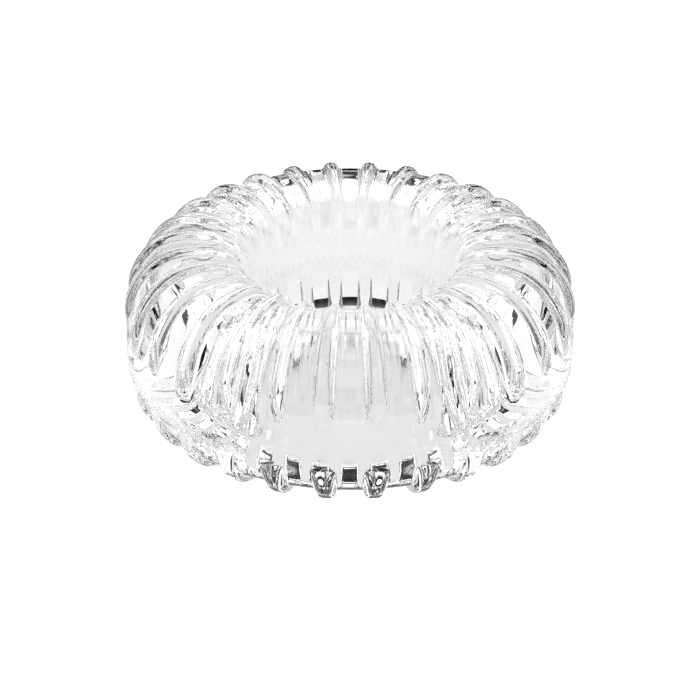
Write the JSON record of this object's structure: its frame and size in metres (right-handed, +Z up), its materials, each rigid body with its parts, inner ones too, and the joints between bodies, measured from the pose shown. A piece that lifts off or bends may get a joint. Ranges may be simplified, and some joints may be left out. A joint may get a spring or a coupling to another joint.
{
  "type": "ribbed glass ring insulator",
  "caption": "Thick clear pressed-glass ring with ribs over its crown and round its foot, a plain band between them and a plain open hole.",
  "frame": {"origin": "on the hole's axis, at the level of the ground feet that the ring stands on", "axes": "+Z up along the hole's axis; -Y through the middle of a valley between two ribs, which is the side seen first"},
  "size_m": [0.1, 0.1, 0.0405],
  "materials": {
    "upper_glass": "clear fire-polished pressed glass",
    "lower_glass": "clear fire-polished pressed glass"
  },
  "bodies": {
    "root": {"upper_half": "upper_glass", "lower_half": "lower_glass"}
  },
  "joints": []
}
